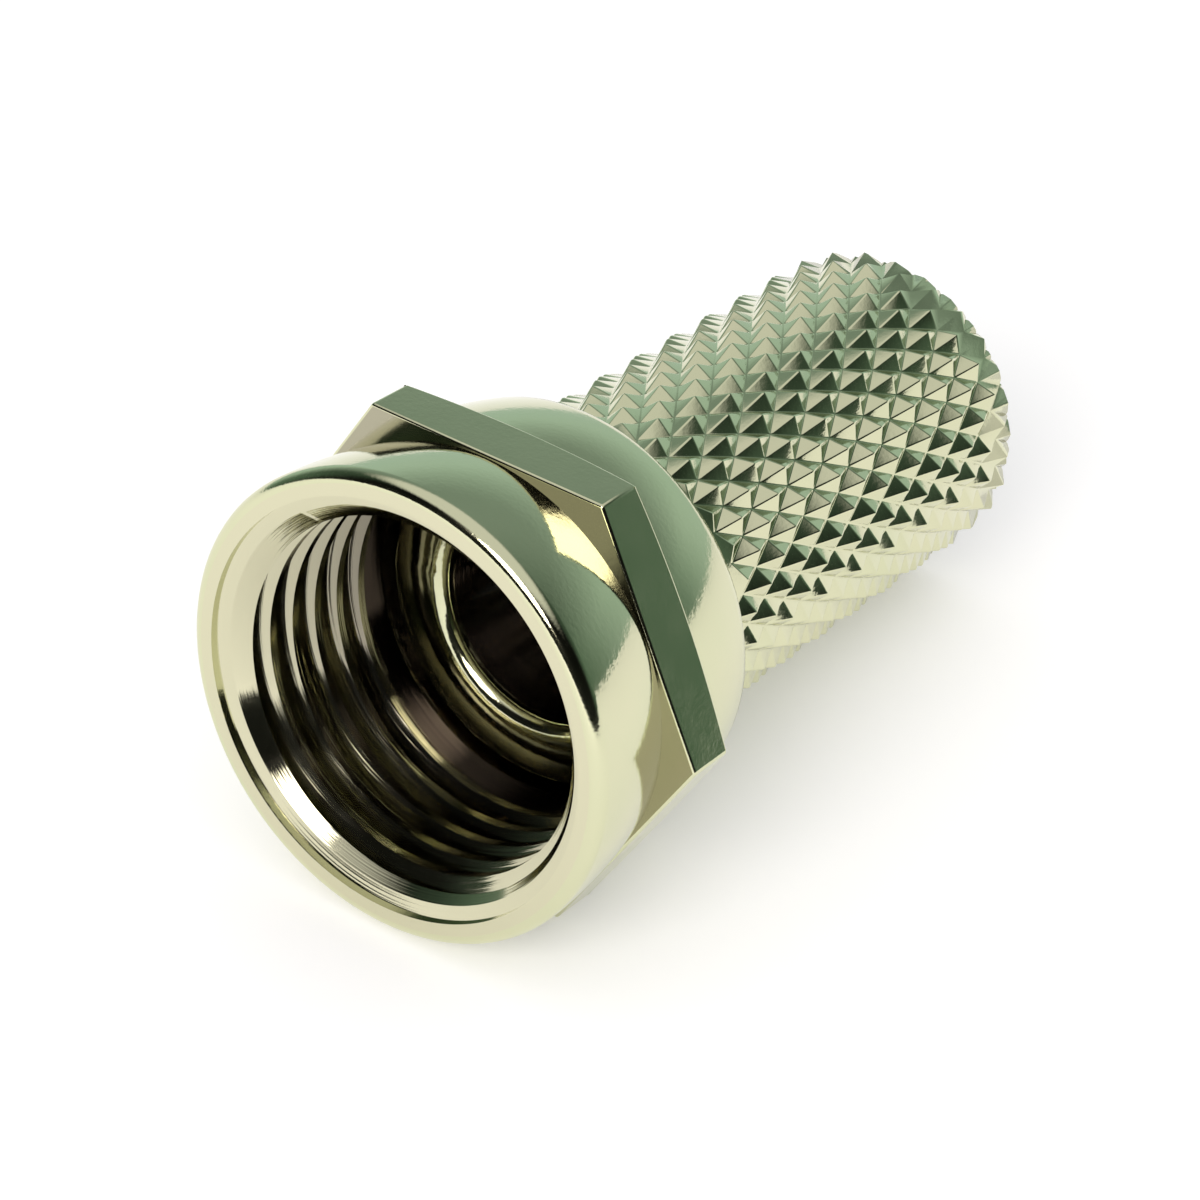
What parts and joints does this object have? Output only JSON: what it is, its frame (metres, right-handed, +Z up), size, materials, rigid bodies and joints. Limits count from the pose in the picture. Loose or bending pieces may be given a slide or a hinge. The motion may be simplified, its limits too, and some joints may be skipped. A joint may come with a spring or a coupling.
{
  "type": "f connector",
  "caption": "Twist-on coaxial F connector: a free hexagonal coupling nut with a threaded mouth, held on a diamond-knurled sleeve that screws over the cable.",
  "frame": {"origin": "centre of the sleeve's contact face, on the connector's axis, inside the threaded nut", "axes": "+Z up, +X back towards the cable end; the connector's own axis dips by 4.82 degrees from +X, because it lies with the nut's lower flat and the knurled end on one surface"},
  "size_m": [0.0209, 0.0126, 0.0114],
  "materials": {
    "nickel_plated_nut": "bright nickel plating on brass",
    "nickel_plated_sleeve": "bright nickel plating on brass, knurled"
  },
  "bodies": {
    "sleeve": {"knurled_sleeve": "nickel_plated_sleeve"},
    "nut": {"coupling_nut": "nickel_plated_nut"}
  },
  "joints": [
    {"name": "nut_spin", "type": "hinge", "parent": "sleeve", "child": "nut", "pos_m": [0, 0, 0], "axis": [-0.9965, 0, 0.0841], "continuous": true}
  ]
}
